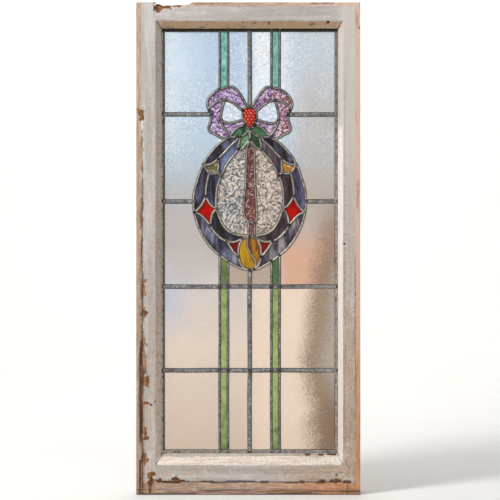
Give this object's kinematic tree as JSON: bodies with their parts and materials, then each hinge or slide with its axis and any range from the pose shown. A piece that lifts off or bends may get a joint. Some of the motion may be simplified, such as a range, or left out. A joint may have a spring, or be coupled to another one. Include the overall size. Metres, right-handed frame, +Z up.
{
  "type": "leaded stained glass window sash",
  "caption": "Painted timber sash holding a leaded glass panel with a bow, a wreath and ribbon stems between plain panes.",
  "frame": {"origin": "middle of the sash's underside, halfway through its thickness", "axes": "+Z up, +X to the right seen from the moulded front, +Y towards the puttied back"},
  "size_m": [0.393, 0.044, 0.863],
  "materials": {
    "painted_wood": "old off-white paint over softwood, chipped to primer and raw wood",
    "lead": "dull oxidised lead with duller solder joints",
    "putty": "old hard linseed putty",
    "clear_textured_glass": "colourless rolled glass with a fine stipple",
    "hammered_clear_glass": "colourless glass with a coarse hammered face",
    "teal_glass": "teal rolled glass",
    "green_glass": "leaf green rolled glass",
    "lilac_glass": "pink-lilac hammered glass",
    "slate_glass": "streaky dark purple and blue-grey opalescent glass",
    "red_glass": "deep red glass",
    "berry_glass": "moulded orange-red glass",
    "ribbon_glass": "brick-pink mottled glass",
    "amber_glass": "yellow-olive and amber-brown glass"
  },
  "bodies": {
    "root": {"berry": "berry_glass", "bottom_rail": "painted_wood", "bow_arch_left": "lilac_glass", "bow_arch_right": "lilac_glass", "bow_column_left": "lilac_glass", "bow_column_right": "lilac_glass", "bow_loop_left": "hammered_clear_glass", "bow_loop_right": "hammered_clear_glass", "bow_tail_left": "lilac_glass", "bow_tail_right": "lilac_glass", "foot_petal_left": "amber_glass", "foot_petal_right": "amber_glass", "lead_cames": "lead", "left_stile": "painted_wood", "oval_half_left": "hammered_clear_glass", "oval_half_right": "hammered_clear_glass", "pane_row_1_inner_left": "clear_textured_glass", "pane_row_1_inner_right": "clear_textured_glass", "pane_row_1_left": "clear_textured_glass", "pane_row_1_right": "clear_textured_glass", "pane_row_2_left": "clear_textured_glass", "pane_row_2_right": "clear_textured_glass", "pane_row_3_inner_left": "clear_textured_glass", "pane_row_3_inner_right": "clear_textured_glass", "pane_row_3_left": "clear_textured_glass", "pane_row_3_right": "clear_textured_glass", "pane_row_4_inner_left": "clear_textured_glass", "pane_row_4_inner_right": "clear_textured_glass", "pane_row_4_left": "clear_textured_glass", "pane_row_4_right": "clear_textured_glass", "pane_row_5_inner_left": "clear_textured_glass", "pane_row_5_inner_right": "clear_textured_glass", "pane_row_5_left": "clear_textured_glass", "pane_row_5_right": "clear_textured_glass", "putty": "putty", "ribbon": "ribbon_glass", "right_stile": "painted_wood", "strip_row_1_left": "teal_glass", "strip_row_1_right": "teal_glass", "strip_row_3_left": "green_glass", "strip_row_3_right": "green_glass", "strip_row_4_left": "green_glass", "strip_row_4_right": "green_glass", "strip_row_5_left": "green_glass", "strip_row_5_right": "green_glass", "top_rail": "painted_wood", "wreath_diamond_left": "red_glass", "wreath_diamond_right": "red_glass", "wreath_foot_inner_left": "slate_glass", "wreath_foot_inner_right": "slate_glass", "wreath_foot_outer_left": "slate_glass", "wreath_foot_outer_right": "slate_glass", "wreath_side_inner_left": "slate_glass", "wreath_side_inner_right": "slate_glass", "wreath_side_outer_left": "slate_glass", "wreath_side_outer_right": "slate_glass", "wreath_top_inner_left": "slate_glass", "wreath_top_inner_right": "slate_glass", "wreath_top_outer_left": "slate_glass", "wreath_top_outer_right": "slate_glass"}
  },
  "joints": []
}
